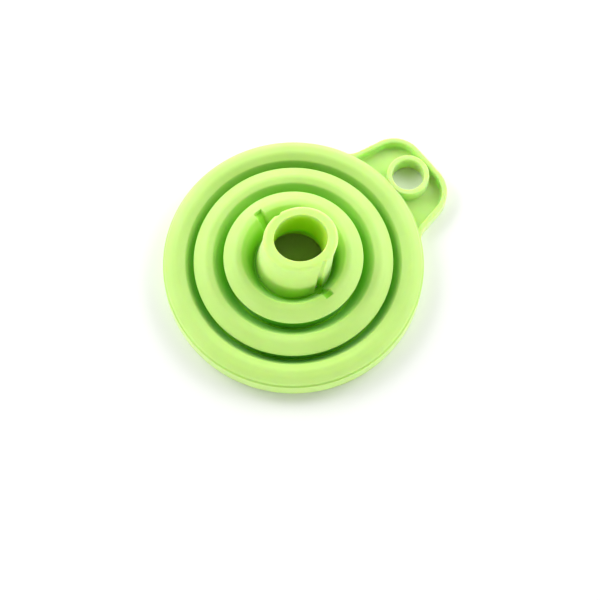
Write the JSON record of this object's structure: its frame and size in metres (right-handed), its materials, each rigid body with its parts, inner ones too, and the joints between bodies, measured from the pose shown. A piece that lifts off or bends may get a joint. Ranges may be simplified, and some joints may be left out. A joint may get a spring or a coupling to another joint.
{
  "type": "collapsible funnel",
  "caption": "Folding silicone kitchen funnel, stored flat on its wide mouth, with nested rings, a vented spout and a hanging tab.",
  "frame": {"origin": "centre of the mouth's rim plane, on the funnel's axis; the funnel stands on this plane with its spout up", "axes": "+Z along the funnel's axis towards the spout's tip, +X towards the hanging tab, the two air channels of the spout at +Y and -Y"},
  "size_m": [0.0945, 0.08, 0.028],
  "materials": {
    "silicone_thick": "satin lime green silicone, slightly translucent",
    "silicone_thin": "satin lime green silicone, thin and more translucent"
  },
  "bodies": {
    "mouth": {"mouth_band": "silicone_thick", "rim_shell": "silicone_thick", "hang_tab": "silicone_thin", "tab_border": "silicone_thick", "tab_eyelet": "silicone_thick", "outer_fold": "silicone_thin"},
    "middle": {"middle_ring": "silicone_thick", "middle_fold": "silicone_thin"},
    "inner": {"inner_ring": "silicone_thick", "inner_fold": "silicone_thin"},
    "spout": {"spout": "silicone_thick"}
  },
  "joints": [
    {"name": "outer_fold_slide", "type": "slide", "parent": "mouth", "child": "middle", "axis": [0, 0, 1], "range_m": [0, 0.0134], "deforming": ["outer_fold"]},
    {"name": "middle_fold_slide", "type": "slide", "parent": "middle", "child": "inner", "axis": [0, 0, 1], "range_m": [0, 0.0134], "deforming": ["middle_fold"]},
    {"name": "inner_fold_slide", "type": "slide", "parent": "inner", "child": "spout", "axis": [0, 0, 1], "range_m": [0, 0.0134], "deforming": ["inner_fold"]}
  ]
}
